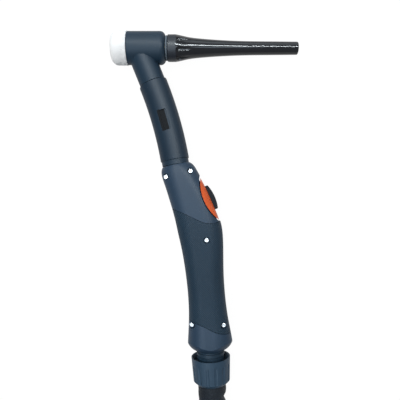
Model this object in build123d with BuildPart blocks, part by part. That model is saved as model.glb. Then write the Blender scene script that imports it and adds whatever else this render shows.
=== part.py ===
from build123d import *
from math import cos, radians, sin, tan
import os

# A TIG welding torch lying on its side: the electrode's axis is X, the neck and
# the handle run down -Y, and the handle's two halves part on the plane z = 0.
# Millimetres. The origin is the middle of the collet socket's mouth.

# ---- Shared fits ------------------------------------------------------------
running_fit = 0.05  # radial clearance of a shaft that turns in a hole
seat_gap = 0.15  # between pieces that touch but are not a fit
loose_gap = 0.5  # round a piece that moves freely through a hole

# ---- Head: the moulding, the brass body in it and the white insulator -------
head_radius = 14.2
head_length = 35.2
head_step = 1.8  # of the brass body past the moulding, into the insulator
head_shoulder = 4.6
head_front_edge = 0.7
body_radius = 9.4
body_back_wall = 1.6
socket_radius = 4.4  # collet thread
socket_depth = 8.0
gas_bore = 3.2
cap_thread_radius = 5.5
cap_thread_depth = 10.0
insulator_radius = 14.5
insulator_length = 12.4
insulator_round = 6.2
insulator_bore = 6.4
insulator_lip = 1.2
rib_count = 48
rib_length = 5.0
rib_depth = 0.35

# ---- Back cap ---------------------------------------------------------------
cap_gap = 1.9  # from the head to the cap, filled by the O-ring
cap_length = 114.3
cap_base_radius = 11.5
cap_base_length = 7.3
cap_tip_radius = 5.5
cap_tip_round = 1.2
cap_bore = 3.3
cap_end_wall = 6.0
flute_count = 8
flute_radius = 2.4
flute_start = 10.2
flute_length = 16.0
flute_offset = 11.95
flute_slope = 3.5
o_ring_section = 0.85
stub_shank_radius = 9.0
thread_run_out = 1.0

# ---- Neck: straight stub, curved sleeve, collar -----------------------------
neck_foot = 11.5  # where the neck's axis leaves the head's
neck_lean = 22.0  # degrees between the neck and -Y
neck_radius = 11.4
neck_stub = 33.6
seam_gap = 0.6  # the groove between the head's moulding and the sleeve
plug_in_sleeve = 5.0
plug_in_sleeve_radius = 10.4
tube_radius = 6.0
tube_wall = 1.6
sleeve_radius = 12.5
sleeve_bend = 335.0
sleeve_turn = 12.0
sleeve_edge = 0.5
panel_place = 0.506  # of the way down the sleeve
panel_width = 6.0
panel_length = 18.0
panel_depth = 1.1
collar_radius = 11.8
collar_length = 4.2
collar_tail_radius = 10.3
tail_in_handle = 7.0
tube_past_collar = 22.0

# ---- Handle -----------------------------------------------------------------
# Each station is a rounded section: centre x, centre y, lean of the handle
# there in degrees, half width, half depth and corner radius.
handle_stations = [
    (44.5, -103.0, 12.0, 12.4, 12.4, 12.2),
    (46.8, -109.2, 16.0, 15.1, 14.2, 12.4),
    (49.5, -115.4, 18.0, 15.7, 15.0, 12.0),
    (55.1, -128.5, 18.5, 17.0, 15.8, 12.0),
    (60.3, -142.7, 17.0, 18.0, 16.2, 12.2),
    (65.0, -157.9, 12.5, 19.2, 16.5, 12.6),
    (67.5, -173.3, 8.5, 18.3, 16.5, 12.6),
    (69.4, -195.3, 6.0, 16.6, 16.1, 12.4),
    (71.2, -217.1, 4.5, 16.1, 15.9, 12.4),
    (72.9, -238.7, 4.2, 17.3, 16.8, 13.4),
    (74.2, -255.8, 3.6, 19.3, 18.15, 15.3),
    (74.8, -266.6, 2.6, 19.4, 18.35, 15.9),
]
handle_wall = 3.6
handle_top_wall = 3.0
pad_depth = 1.6
pad_groove = 0.4
pad_top_edge = [(34, -138.5), (45, -142.2), (57, -147.2), (74, -153.2), (80.5, -152.2), (92, -146)]
pad_bottom_edge = [(46, -238.4), (62, -238.2), (70, -241.2), (79, -245.4), (86, -247.2), (98, -248.6)]

# ---- Screws: x, y and the height of the head's seat --------------------------
screw_places = [
    (36.1, -113.7, 7.6),
    (57.2, -108.6, 8.6),
    (71.1, -167.5, 13.2),
    (58.4, -240.4, 8.6),
    (85.6, -240.1, 10.8),
]
screw_head_radius = 1.95
screw_head_height = 1.7
screw_head_round = 0.5
screw_radius = 1.25
screw_length = 15.0
screw_recess = 2.8
boss_radius = 3.8
boss_depth = 10.5
hex_key = 1.25

# ---- Trigger on the back-cap side of the handle ------------------------------
# Its own frame: x runs down the handle, y points out of it, z is the row's z.
trigger_x = 73.9
trigger_y = -131.7
trigger_lean = 23.0
bezel_drop = 0.7
bezel_thickness = 1.7
bezel_half_length = 20.8
bezel_depth = 6.6
bezel_tip_depth = 0.9
bezel_gap = 1.0  # the dark groove round it
button_half_length = 11.0
button_top_edge = 2.4
button_low_edge = 3.1
button_round = 1.0
button_lip = 1.3
button_half_width = 5.4
button_dome = 4.5
button_skirt = 4.2
button_wall = 1.6
pin_radius = 1.0
pin_from_end = 2.2
pin_height = -2.6
pin_reach = 2.0  # of the pin into each lug
window_margin = 2.9
press_room = 0.8  # at the button's ends, for its rocking
lug_radius = 2.3
switch_length = 12.8
switch_width = 5.8
switch_height = 6.5
switch_below = 7.2  # from the handle's line to the top of the switch
switch_shift = 3.0
terminal_length = 2.6
plunger_radius = 0.9
plunger_height = 1.5
plunger_shift = 3.2
carrier_wall = 1.4
carrier_reach = 16.0

# ---- Knuckle: ball, spigot, nut and clamp ------------------------------------
# Distances along it are from the ball's centre, towards the cable.
ball_x = 74.3
ball_y = -258.0
knuckle_lean = 2.5
ball_radius = 13.2
ball_gap = 0.1
seat_block = 12.5  # solid handle above the ball's centre
mouth_radius = 12.5
handle_end = 5.5
handle_end_round = 7.5
handle_end_radius = 13.4
ring_start = 8.1
ring_radius = 12.1
ring_length = 2.3
groove_radius = 11.2
groove_length = 1.0
second_ring_radius = 11.7
second_ring_length = 2.4
thread_start = 17.6
thread_radius = 14.2
thread_length = 8.4
tail_radius = 9.3
tail_length = 14.0
barb_height = 0.35
barb_count = 3
lead_radius = 5.6
lead_gap = 0.7
lead_flare = 0.21  # how much wider the ball's bore gets, per millimetre
hose_radius = 4.8
hose_points = [(50.4, -141.0, 0), (55.8, -163.0, 0), (64.0, -190.0, 0)]
bundle_points = [(71.29, -214.0, 0)]
hose_nut_radius = 8.0
hose_nut_length = 11.0
splitter_length = 12.0
splitter_wall = 1.2
control_radius = 1.5
control_points = [(63.0, -156.0, 0), (64.1, -168.0, 0)]
nut_start = 12.6
nut_length = 23.2
nut_rim_radius = 17.0
nut_foot_radius = 15.9
nut_chamfer = 2.8
nut_mouth_radius = 16.0
nut_mouth_depth = 4.0
nut_taper_start = 14.6
nut_taper_large = 14.1
nut_taper_small = 13.2
nut_taper_length = 5.6
nut_flutes = 14
nut_flute_radius = 2.4
nut_flute_depth = 0.9
nut_flute_slope = 3.4
nut_band = 6.2
clamp_slot = 1.2

# ---- Cable --------------------------------------------------------------------
cable_diameter = 24.0
floor_z = -18.5
# The middle of the cable from the clamp to the coil, after the straight first
# stretch that the knuckle's axis gives.
first_run = 44.0
lead_route = [(80.2, -372.0, -5.6), (85.4, -424.0, -6.5), (88.0, -488.0, -6.5)]
coil_radius = 138.0  # of the middle of the turns
coil_columns = 2
coil_layers = 2
coil_x = -62.0
coil_y = -488.0
tail_start = 165.0  # degrees clockwise round the coil, from its +X side
tail_step = 28.0
tail_corners = 7
tail_last_run = 58.0
tail_first_rise = 0.35
tie_angles = (-240.0, -75.0)
tie_over_tail = (True, False)
tie_width = 20.0
tie_thickness = 1.2

# ---- Plug on the cable's end ----------------------------------------------------
boot_length = 30.0
boot_small_radius = 13.0
boot_large_radius = 15.6
boot_rings = 4
boot_ring_depth = 1.0
plug_radius = 17.2
plug_length = 38.0
plug_grip_count = 14
journal_radius = 15.0
collar_nut_radius = 19.2
collar_nut_length = 17.0
collar_nut_overhang = 3.0
collar_nut_flutes = 16
power_pin_radius = 5.0
power_pin_length = 20.0
power_pin_bore = 2.0
power_pin_seat = 10.0
power_pin_shank = 4.4
power_pin_tip = 0.8
contact_circle = 10.0
contact_count = 4
contact_radius = 1.0
contact_length = 8.0

# ---- Values worked out from the sizes above -----------------------------------
cap_start = head_length + cap_gap
lug_inner = button_half_width + 2 * seat_gap
cable_radius = cable_diameter / 2


# How a round solid meets its place: from it upwards, or from it downwards.
standing = (Align.CENTER, Align.CENTER, Align.MIN)
hanging = (Align.CENTER, Align.CENTER, Align.MAX)


def heading(lean):
    """The unit vector that leans from -Y towards +X by an angle in degrees."""
    return Vector(sin(radians(lean)), -cos(radians(lean)), 0)


def across(lean):
    """The unit vector square to heading(lean), towards the back cap's side."""
    return Vector(cos(radians(lean)), sin(radians(lean)), 0)


with BuildLine() as neck_route:
    stub_line = Line((neck_foot, 0), (neck_foot, 0) + heading(neck_lean) * neck_stub)
    sleeve_line = JernArc(stub_line @ 1, stub_line % 1, sleeve_bend, -sleeve_turn)
    inner_run = (sleeve_line % 1) * (collar_length + tube_past_collar)
    inner_line = Line(sleeve_line @ 1, sleeve_line @ 1 + inner_run)

neck_plane = Plane((neck_foot, 0, 0), x_dir=across(neck_lean), z_dir=heading(neck_lean))
collar_lean = neck_lean - sleeve_turn
collar_plane = Plane(sleeve_line @ 1, x_dir=across(collar_lean), z_dir=heading(collar_lean))
knuckle_plane = Plane((ball_x, ball_y, 0), x_dir=across(knuckle_lean), z_dir=heading(knuckle_lean))
knuckle_profile = Plane((ball_x, ball_y, 0), x_dir=heading(knuckle_lean), z_dir=(0, 0, 1))
knuckle_axis = Axis((ball_x, ball_y, 0), heading(knuckle_lean))
trigger_plane = Plane((trigger_x, trigger_y, 0), x_dir=heading(trigger_lean), z_dir=(0, 0, 1))
cap_plane = Plane((0, 0, 0), x_dir=(0, 0, 1), z_dir=(1, 0, 0))


def finish(piece, name):
    """Label a finished piece and write it to its own file."""
    piece.part.label = name
    export_step(piece.part, f"parts/{name}.step")


os.makedirs("parts", exist_ok=True)

# ==== Head =====================================================================
body_length = head_length - body_back_wall
cap_socket_start = body_length - cap_thread_depth

with BuildPart() as torch_body:
    with BuildSketch() as body_profile:
        with Locations((0, 0)):
            Rectangle(body_length, body_radius, align=(Align.MIN, Align.MIN))
            Rectangle(socket_depth, socket_radius, align=(Align.MIN, Align.MIN), mode=Mode.SUBTRACT)
            Rectangle(body_length, gas_bore, align=(Align.MIN, Align.MIN), mode=Mode.SUBTRACT)
        with Locations((cap_socket_start, 0)):
            socket_wall = cap_thread_radius + running_fit
            Rectangle(cap_thread_depth, socket_wall, align=(Align.MIN, Align.MIN), mode=Mode.SUBTRACT)
    revolve(axis=Axis.X)
    with BuildSketch(neck_plane.offset(gas_bore - 0.5)):
        Circle(tube_radius - tube_wall)
    extrude(amount=body_radius, mode=Mode.SUBTRACT)
    tube_seat = body_radius - 2.5
    with BuildSketch(neck_plane.offset(tube_seat)):
        Circle(tube_radius)
    extrude(amount=body_radius, mode=Mode.SUBTRACT)
finish(torch_body, "torch_body")

with BuildPart() as head_moulding:
    with BuildSketch() as head_profile:
        with Locations((head_step, 0)):
            Rectangle(head_length - head_step, head_radius, align=(Align.MIN, Align.MIN))
        fillet(head_profile.vertices().sort_by(Axis.X)[-2:].sort_by(Axis.Y)[-1], head_shoulder)
        chamfer(head_profile.vertices().sort_by(Axis.X)[:2].sort_by(Axis.Y)[-1], head_front_edge)
    revolve(axis=Axis.X)
    with BuildSketch(neck_plane):
        Circle(neck_radius)
    extrude(amount=neck_stub - seam_gap)
    with BuildSketch(neck_plane):
        Circle(plug_in_sleeve_radius)
    extrude(amount=neck_stub + plug_in_sleeve)
    with BuildSketch(Plane.YZ):
        Circle(body_radius)
    extrude(amount=body_length, mode=Mode.SUBTRACT)
    with BuildSketch(Plane.YZ.offset(body_length)):
        Circle(stub_shank_radius + loose_gap)
    extrude(amount=head_length - body_length, mode=Mode.SUBTRACT)
    with BuildSketch(neck_plane):
        Circle(tube_radius)
    extrude(amount=neck_stub, mode=Mode.SUBTRACT)
    with BuildSketch(neck_plane.offset(neck_stub)):
        Circle(tube_radius + loose_gap)
    extrude(amount=plug_in_sleeve, mode=Mode.SUBTRACT)
finish(head_moulding, "head_moulding")

with BuildPart() as nozzle_insulator:
    with BuildSketch() as insulator_profile:
        with Locations((-insulator_length, insulator_bore)):
            ring_width = insulator_radius - insulator_bore
            Rectangle(insulator_length + head_step, ring_width, align=(Align.MIN, Align.MIN))
        Rectangle(head_step, body_radius + loose_gap, align=(Align.MIN, Align.MIN), mode=Mode.SUBTRACT)
        fillet(insulator_profile.vertices().sort_by(Axis.X)[:2].sort_by(Axis.Y)[-1], insulator_round)
    revolve(axis=Axis.X)
    front_rims = nozzle_insulator.edges().filter_by(GeomType.CIRCLE).group_by(Axis.X)[0]
    chamfer(front_rims.sort_by(SortBy.RADIUS)[0], insulator_lip)
    with Locations(cap_plane.offset(head_step - rib_length)):
        with PolarLocations(insulator_radius, rib_count):
            Cylinder(rib_depth, rib_length, align=standing, mode=Mode.SUBTRACT)
finish(nozzle_insulator, "nozzle_insulator")

# ==== Back cap =================================================================
cap_end = cap_start + cap_length

with BuildPart() as back_cap:
    with BuildSketch() as cap_profile:
        with BuildLine():
            base_edge = Line((cap_start, 0), (cap_start, cap_base_radius))
            base_side = Line(base_edge @ 1, (cap_start + cap_base_length, cap_base_radius))
            waist = Spline(
                base_side @ 1,
                (cap_start + 0.145 * cap_length, 0.835 * cap_base_radius),
                (cap_start + 0.24 * cap_length, 0.71 * cap_base_radius),
                (cap_start + 0.42 * cap_length, 0.585 * cap_base_radius),
                (cap_end, cap_tip_radius),
                tangents=[(1, -0.12), (1, -0.012)],
            )
            Line(waist @ 1, (cap_end, 0))
            Line((cap_end, 0), base_edge @ 0)
        make_face()
        fillet(cap_profile.vertices().sort_by(Axis.X)[-2:].sort_by(Axis.Y)[-1], cap_tip_round)
        chamfer(cap_profile.vertices().sort_by(Axis.X)[:2].sort_by(Axis.Y)[-1], 0.5)
    revolve(axis=Axis.X)
    with BuildSketch(Plane.YZ.offset(cap_start)):
        Circle(cap_bore)
    extrude(amount=cap_length - cap_end_wall, mode=Mode.SUBTRACT)
    with BuildSketch(Plane.YZ.offset(cap_start)):
        Circle(cap_thread_radius)
    extrude(amount=cap_thread_depth, mode=Mode.SUBTRACT)
    with Locations(cap_plane.offset(cap_start + flute_start)):
        with PolarLocations(flute_offset, flute_count, start_angle=180 / flute_count):
            Sphere(flute_radius, mode=Mode.SUBTRACT)
            Cylinder(
                flute_radius,
                flute_length,
                rotation=(0, -flute_slope, 0),
                align=standing,
                mode=Mode.SUBTRACT,
            )
finish(back_cap, "back_cap")

stub_start = cap_socket_start + thread_run_out

with BuildPart() as cap_stub:
    with BuildSketch() as stub_profile:
        with Locations((stub_start, 0)):
            stub_length = cap_start + cap_thread_depth - stub_start
            Rectangle(stub_length, cap_thread_radius, align=(Align.MIN, Align.MIN))
        with Locations((body_length + seat_gap, 0)):
            Rectangle(cap_start - body_length - seat_gap, stub_shank_radius, align=(Align.MIN, Align.MIN))
        with Locations((cap_socket_start, 0)):
            Rectangle(cap_length, cap_bore, align=(Align.MIN, Align.MIN), mode=Mode.SUBTRACT)
    revolve(axis=Axis.X)
finish(cap_stub, "cap_stub")

with BuildPart() as cap_o_ring:
    with BuildSketch():
        with Locations(((head_length + cap_start) / 2, stub_shank_radius + o_ring_section + running_fit)):
            Circle(o_ring_section)
    revolve(axis=Axis.X)
finish(cap_o_ring, "cap_o_ring")

# ==== Neck =====================================================================
with BuildPart() as neck_tube:
    with BuildSketch(neck_plane.offset(tube_seat)):
        Circle(tube_radius)
        Circle(tube_radius - tube_wall, mode=Mode.SUBTRACT)
    extrude(amount=neck_stub - tube_seat)
    with BuildSketch(neck_plane.offset(neck_stub)):
        Circle(tube_radius)
        Circle(tube_radius - tube_wall, mode=Mode.SUBTRACT)
    sweep(path=sleeve_line)
    with BuildSketch(collar_plane):
        Circle(tube_radius)
        Circle(tube_radius - tube_wall, mode=Mode.SUBTRACT)
    extrude(amount=collar_length + tube_past_collar)
finish(neck_tube, "neck_tube")

with BuildPart() as neck_sleeve:
    with BuildSketch(neck_plane.offset(neck_stub)):
        Circle(sleeve_radius)
        Circle(tube_radius, mode=Mode.SUBTRACT)
    sweep(path=sleeve_line)
    sleeve_rims = neck_sleeve.edges().filter_by(GeomType.CIRCLE)
    fillet(sleeve_rims.filter_by(lambda rim: abs(rim.radius - sleeve_radius) < 0.01), sleeve_edge)
    with BuildSketch(neck_plane.offset(neck_stub)):
        Circle(plug_in_sleeve_radius + running_fit)
    extrude(amount=plug_in_sleeve + seat_gap, mode=Mode.SUBTRACT)
    panel_lean = neck_lean - panel_place * sleeve_turn
    panel_plane = Plane(sleeve_line @ panel_place, x_dir=heading(panel_lean), z_dir=(0, 0, 1))
    with BuildSketch(panel_plane.offset(sleeve_radius - panel_depth)):
        RectangleRounded(panel_length, panel_width, 0.8)
    extrude(amount=panel_depth * 2, mode=Mode.SUBTRACT)
finish(neck_sleeve, "neck_sleeve")

with BuildPart() as neck_collar:
    with BuildSketch(collar_plane):
        Circle(collar_radius)
        Circle(tube_radius, mode=Mode.SUBTRACT)
    extrude(amount=collar_length)
    with BuildSketch(collar_plane.offset(collar_length)):
        Circle(collar_tail_radius)
        Circle(tube_radius, mode=Mode.SUBTRACT)
    extrude(amount=tail_in_handle)
finish(neck_collar, "neck_collar")

# ==== Handle forms ===============================================================
def handle_form(inset):
    """The handle's outside made smaller all round: rounded sections lofted down its curved middle."""
    with BuildPart() as form:
        for x, y, lean, half_width, half_depth, corner in handle_stations:
            with BuildSketch(Plane((x, y, 0), x_dir=across(lean), z_dir=heading(lean))):
                RectangleRounded(2 * (half_width - inset), 2 * (half_depth - inset), corner - inset)
        loft()
    return form.part


def band(upper_edge, lower_edge):
    """A block through the whole depth of the handle between two smooth edges that cross it."""
    with BuildPart() as block:
        with BuildSketch(Plane.XY.offset(-2 * handle_stations[0][3])):
            with BuildLine():
                upper = Spline(*upper_edge)
                lower = Spline(*lower_edge)
                Line(upper @ 0, lower @ 0)
                Line(upper @ 1, lower @ 1)
            make_face()
        extrude(amount=4 * handle_stations[0][3])
    return block.part


def lens(shrink):
    """The block whose meeting with the handle's surface is the trigger bezel's lens."""
    tip = bezel_half_length - shrink
    with BuildPart() as block:
        with BuildSketch(trigger_plane.offset(-2 * bezel_half_length)):
            with BuildLine():
                deepest = shrink - bezel_depth
                at_tips = shrink / 2 - bezel_tip_depth
                border = ThreePointArc((-tip, at_tips), (0, deepest), (tip, at_tips))
                Polyline(border @ 1, (tip + 4, 2), (tip + 4, tip), (-tip - 4, tip), (-tip - 4, 2), border @ 0)
            make_face()
        extrude(amount=4 * bezel_half_length)
    return block.part


top_lean = handle_stations[0][2]
top_x = handle_stations[0][0]
top_y = handle_stations[0][1]
top_plane = Plane((top_x, top_y, 0), x_dir=across(top_lean), z_dir=heading(top_lean))

end_margin = 0.6  # of the turned shape past the last section
end_lead = 8.0
end_brow = handle_stations[-1][3] + end_margin
end_start = handle_end - handle_end_round
reach_up = handle_stations[0][1] - ball_y + 4 * handle_wall
reach_out = 4 * mouth_radius

with BuildPart() as end_bowl:
    with BuildSketch(knuckle_profile) as bowl_profile:
        with BuildLine():
            Polyline(
                (-reach_up, 0),
                (-reach_up, reach_out),
                (end_start - end_lead, reach_out),
                (end_start, end_brow),
            )
            ThreePointArc(
                (end_start, end_brow),
                (handle_end - 0.35 * handle_end_round, 0.4 * handle_end_radius + 0.6 * end_brow),
                (handle_end, handle_end_radius),
            )
            Polyline((handle_end, handle_end_radius), (handle_end, 0), (-reach_up, 0))
        make_face()
    revolve(axis=knuckle_axis)

outer_form = handle_form(0) & end_bowl.part
core_form = handle_form(pad_depth)
cavity_form = handle_form(handle_wall)

with BuildPart() as handle_cavity:
    add(cavity_form)
    split(bisect_by=top_plane.offset(handle_top_wall), keep=Keep.TOP)
    split(bisect_by=knuckle_plane.offset(-seat_block), keep=Keep.BOTTOM)

pad_zone = band(pad_top_edge, pad_bottom_edge)
pad_block = band(
    [(x, y - pad_groove) for x, y in pad_top_edge],
    [(x, y + pad_groove) for x, y in pad_bottom_edge],
)
bezel_seat_form = handle_form(bezel_drop + bezel_thickness)
window_plane = Plane(trigger_plane.origin, x_dir=heading(trigger_lean), z_dir=across(trigger_lean))

# ==== Handle shells ================================================================
with BuildPart() as screw_bosses:
    with Locations(*[(x, y, 0) for x, y, seat in screw_places]):
        Cylinder(boss_radius, 4 * boss_depth)
    add(handle_form(0.4), mode=Mode.INTERSECT)

with BuildPart() as handle_blank:
    add(outer_form)
    add(handle_cavity.part, mode=Mode.SUBTRACT)
    add(screw_bosses.part)
    add(pad_zone - core_form, mode=Mode.SUBTRACT)
    add(lens(0) - bezel_seat_form, mode=Mode.SUBTRACT)
    with BuildSketch(window_plane.offset(-button_skirt - handle_wall)):
        RectangleRounded(2 * (button_half_length + window_margin), 2 * (lug_inner + pin_reach + seat_gap), 2)
    extrude(amount=button_skirt + 3 * handle_wall, mode=Mode.SUBTRACT)
    with BuildSketch(collar_plane):
        Circle(collar_tail_radius)
    extrude(amount=collar_length + tail_in_handle, mode=Mode.SUBTRACT)
    with BuildSketch(collar_plane):
        Circle(tube_radius + seat_gap)
    extrude(amount=collar_length + tube_past_collar, mode=Mode.SUBTRACT)
    with BuildSketch(collar_plane.offset(collar_length + tube_past_collar - hose_nut_length)):
        Circle(hose_nut_radius + loose_gap)
    extrude(amount=2 * hose_nut_length, mode=Mode.SUBTRACT)
    with BuildSketch(collar_plane):
        Circle(collar_radius)
    extrude(amount=collar_length, mode=Mode.SUBTRACT)
    with Locations(knuckle_plane):
        Sphere(ball_radius + ball_gap, mode=Mode.SUBTRACT)
        Cylinder(mouth_radius, 4 * handle_end, align=standing, mode=Mode.SUBTRACT)
    with Locations(knuckle_plane.offset(-1.5 * seat_block)):
        Cylinder(lead_radius + 3, seat_block, align=standing, mode=Mode.SUBTRACT)

with BuildPart() as handle_shell_upper:
    add(handle_blank.part)
    split(bisect_by=Plane.XY, keep=Keep.TOP)
    for x, y, seat in screw_places:
        with Locations((x, y, seat)):
            Cylinder(screw_recess, 20, align=standing, mode=Mode.SUBTRACT)
            Cylinder(screw_radius + seat_gap, 20, align=hanging, mode=Mode.SUBTRACT)
finish(handle_shell_upper, "handle_shell_upper")

with BuildPart() as handle_shell_lower:
    add(handle_blank.part)
    split(bisect_by=Plane.XY, keep=Keep.BOTTOM)
    for x, y, seat in screw_places:
        with Locations((x, y, 0)):
            Cylinder(screw_radius, 2 * (screw_length - seat), mode=Mode.SUBTRACT)
finish(handle_shell_lower, "handle_shell_lower")

with BuildPart() as grip_pad_upper:
    add((outer_form - core_form) & pad_block)
    split(bisect_by=Plane.XY, keep=Keep.TOP)
    with Locations(*[(x, y, seat) for x, y, seat in screw_places]):
        Cylinder(screw_recess, 20, align=standing, mode=Mode.SUBTRACT)
        Cylinder(screw_radius + seat_gap, 20, align=hanging, mode=Mode.SUBTRACT)
finish(grip_pad_upper, "grip_pad_upper")

with BuildPart() as grip_pad_lower:
    add((outer_form - core_form) & pad_block)
    split(bisect_by=Plane.XY, keep=Keep.BOTTOM)
finish(grip_pad_lower, "grip_pad_lower")

with BuildPart() as screw:
    Cylinder(screw_head_radius, screw_head_height, align=standing)
    fillet(screw.edges().filter_by(GeomType.CIRCLE).sort_by(Axis.Z)[-1], screw_head_round)
    with BuildSketch(Plane.XY.offset(0.4 * screw_head_height)):
        RegularPolygon(hex_key, 6)
    extrude(amount=screw_head_height, mode=Mode.SUBTRACT)
    Cylinder(screw_radius, screw_length, align=hanging)

with BuildPart() as handle_screws:
    with Locations(*screw_places):
        add(screw.part)
finish(handle_screws, "handle_screws")

# ==== Trigger ======================================================================
pin_x = -button_half_length + pin_from_end
switch_x = switch_shift + plunger_shift
plunger_top = plunger_height - switch_below
plunger_plane = Plane(window_plane.origin + window_plane.x_dir * switch_x, z_dir=window_plane.z_dir)

with BuildPart() as trigger_bezel:
    add((handle_form(bezel_drop) - bezel_seat_form) & lens(bezel_gap))
    for side in (-1, 1):
        with BuildSketch(trigger_plane.offset(side * (lug_inner + pin_reach / 2) - pin_reach / 2)):
            with Locations((pin_x, pin_height)):
                Circle(lug_radius)
            with Locations((pin_x, pin_height)):
                Rectangle(2 * lug_radius, -pin_height - 1.5, align=(Align.CENTER, Align.MIN))
        extrude(amount=pin_reach)
    with BuildSketch(window_plane.offset(-button_skirt)):
        RectangleRounded(2 * (button_half_length + press_room), 2 * lug_inner, button_round + loose_gap)
    extrude(amount=button_skirt + bezel_half_length, mode=Mode.SUBTRACT)
    with BuildSketch(trigger_plane.offset(-lug_inner - pin_reach)):
        with Locations((pin_x, pin_height)):
            Circle(pin_radius)
    extrude(amount=2 * (lug_inner + pin_reach), mode=Mode.SUBTRACT)
finish(trigger_bezel, "trigger_bezel")

with BuildPart() as trigger_pin:
    with BuildSketch(trigger_plane.offset(-lug_inner - pin_reach)):
        with Locations((pin_x, pin_height)):
            Circle(pin_radius)
    extrude(amount=2 * (lug_inner + pin_reach))
finish(trigger_pin, "trigger_pin")

with BuildPart() as trigger_button:
    with BuildSketch(trigger_plane.offset(-button_half_width)):
        with BuildLine():
            top = ThreePointArc(
                (-button_half_length, button_top_edge),
                (0, button_dome),
                (button_half_length, button_low_edge),
            )
            skirt = ((button_half_length, -button_skirt), (-button_half_length, -button_skirt))
            Polyline(top @ 1, *skirt, top @ 0)
        make_face()
    extrude(amount=2 * button_half_width)
    fillet(trigger_button.edges().filter_by(Axis.Z), button_round)
    fillet(trigger_button.faces().sort_by(Axis.Z)[-1].outer_wire().edges(), 0.6 * button_round)
    fillet(trigger_button.faces().sort_by(Axis.Z)[0].outer_wire().edges(), 0.6 * button_round)
    with BuildSketch(trigger_plane.offset(-button_half_width + button_wall)):
        with Locations((pin_x + 2 * lug_radius, -button_skirt)):
            Rectangle(
                button_half_length - button_wall - pin_x - 2 * lug_radius,
                button_skirt + button_top_edge - button_wall,
                align=(Align.MIN, Align.MIN),
            )
    extrude(amount=2 * (button_half_width - button_wall), mode=Mode.SUBTRACT)
    with BuildSketch(trigger_plane.offset(-button_half_width / 2)):
        with Locations((switch_x, button_top_edge)):
            boss_reach = button_top_edge - plunger_top - seat_gap
            Rectangle(2 * button_wall, boss_reach, align=(Align.CENTER, Align.MAX))
        with Locations((button_half_length - button_wall, -button_skirt)):
            Rectangle(button_wall + button_lip, button_lip, align=(Align.MIN, Align.MIN))
    extrude(amount=button_half_width)
    with BuildSketch(trigger_plane.offset(-2 * button_half_width)):
        with Locations((pin_x, pin_height)):
            Circle(pin_radius + running_fit)
    extrude(amount=4 * button_half_width, mode=Mode.SUBTRACT)
finish(trigger_button, "trigger_button")

with BuildPart() as microswitch:
    with BuildSketch(trigger_plane.offset(-switch_width / 2)):
        with Locations((switch_shift, -switch_below)):
            Rectangle(switch_length, switch_height, align=(Align.CENTER, Align.MAX))
    extrude(amount=switch_width)
    terminal_step = switch_length / 2.6
    for place in (-terminal_step, 0, terminal_step):
        with BuildSketch(trigger_plane.offset(-0.8)):
            with Locations((switch_shift + place, -switch_below - switch_height)):
                Rectangle(0.6, terminal_length, align=(Align.CENTER, Align.MAX))
        extrude(amount=1.6)
    with Locations(plunger_plane.offset(-switch_below)):
        Cylinder(
            plunger_radius + running_fit,
            3 * plunger_height,
            align=hanging,
            mode=Mode.SUBTRACT,
        )
finish(microswitch, "microswitch")

with BuildPart() as switch_plunger:
    with Locations(plunger_plane.offset(plunger_top)):
        Cylinder(plunger_radius, 2 * plunger_height, align=hanging)
    fillet(switch_plunger.edges().filter_by(GeomType.CIRCLE).sort_by(Axis.X)[-1], 0.3)
finish(switch_plunger, "switch_plunger")

with BuildPart() as switch_carrier:
    with BuildSketch(trigger_plane.offset(-carrier_reach)):
        with Locations((switch_shift, -switch_below - 0.4 * switch_height)):
            carrier_length = switch_length + 2 * carrier_wall
            Rectangle(carrier_length, 0.6 * switch_height, align=(Align.CENTER, Align.MAX))
    extrude(amount=2 * carrier_reach)
    add(cavity_form, mode=Mode.INTERSECT)
    with BuildSketch(trigger_plane.offset(-switch_width / 2)):
        with Locations((switch_shift, -switch_below)):
            Rectangle(switch_length, 4 * switch_height)
    extrude(amount=switch_width, mode=Mode.SUBTRACT)
finish(switch_carrier, "switch_carrier")

# ==== Leads inside the handle ========================================================
tube_end = inner_line @ 1
tube_end_plane = Plane(tube_end, x_dir=across(collar_lean), z_dir=heading(collar_lean))


def eased_route(points, name):
    """Straight runs joined by the largest tangent arcs that the runs allow."""
    corners = [Vector(*point) for point in points]
    radii = []
    for before, corner, after in zip(corners, corners[1:], corners[2:]):
        half_turn = radians((corner - before).get_angle(after - corner)) / 2
        radii.append(0.45 * min((corner - before).length, (after - corner).length) / tan(half_turn))
    with BuildLine() as route:
        FilletPolyline(*corners, radius=radii)
    print(name, "length", round(route.wires()[0].length), "radii", [round(radius) for radius in radii])
    return route.wires()[0]


def tube_along(route, radius):
    """A round solid that follows a route of runs and arcs."""
    with BuildPart() as tube:
        with BuildSketch(Plane(route @ 0, z_dir=route % 0)):
            Circle(radius)
        sweep(path=route)
    return tube.part


lead_entry = knuckle_plane.offset(-1.6 * seat_block).origin
hose_line = eased_route([tube_end, *hose_points], "power hose")
lead_end = knuckle_plane.offset(-lead_gap).origin
bundle_line = eased_route([hose_points[-1], *bundle_points, lead_entry, lead_end], "lead bundle")

with BuildPart() as power_hose:
    add(tube_along(hose_line, hose_radius))
finish(power_hose, "power_hose")

with BuildPart() as hose_nut:
    with BuildSketch(tube_end_plane.offset(-hose_nut_length / 2)):
        RegularPolygon(hose_nut_radius, 6)
    extrude(amount=hose_nut_length / 2)
    chamfer(hose_nut.faces().sort_by(Axis.Y)[-1].edges(), 0.8)
    with BuildSketch(tube_end_plane):
        Circle(hose_nut_radius - 1.2)
    extrude(amount=hose_nut_length / 2)
    with BuildSketch(tube_end_plane.offset(-hose_nut_length / 2)):
        Circle(tube_radius)
    extrude(amount=hose_nut_length, mode=Mode.SUBTRACT)
finish(hose_nut, "hose_nut")

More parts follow.
